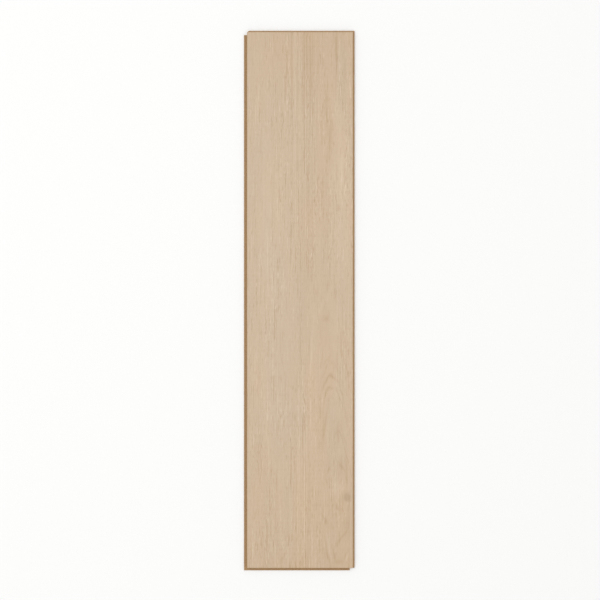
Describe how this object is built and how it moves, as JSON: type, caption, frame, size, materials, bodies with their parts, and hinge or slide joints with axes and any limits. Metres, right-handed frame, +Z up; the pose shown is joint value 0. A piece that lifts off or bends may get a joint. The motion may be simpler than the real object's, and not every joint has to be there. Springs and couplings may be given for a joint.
{
  "type": "laminate floor plank",
  "caption": "Flat laminate floor plank with a light oak printed face, bevelled edges and a milled tongue-and-groove click joint on its long edges and ends.",
  "frame": {"origin": "on the underside, below the middle of the laid face, so that laid planks repeat at whole face widths and lengths", "axes": "+Y along the plank towards the tongue end, +X across it towards the tongue edge, +Z up through the oak face"},
  "size_m": [0.2506, 1.2242, 0.008],
  "materials": {
    "plank": "satin melamine face with a light oak print on pressed fibreboard"
  },
  "bodies": {
    "root": {"plank": "plank"}
  },
  "joints": []
}
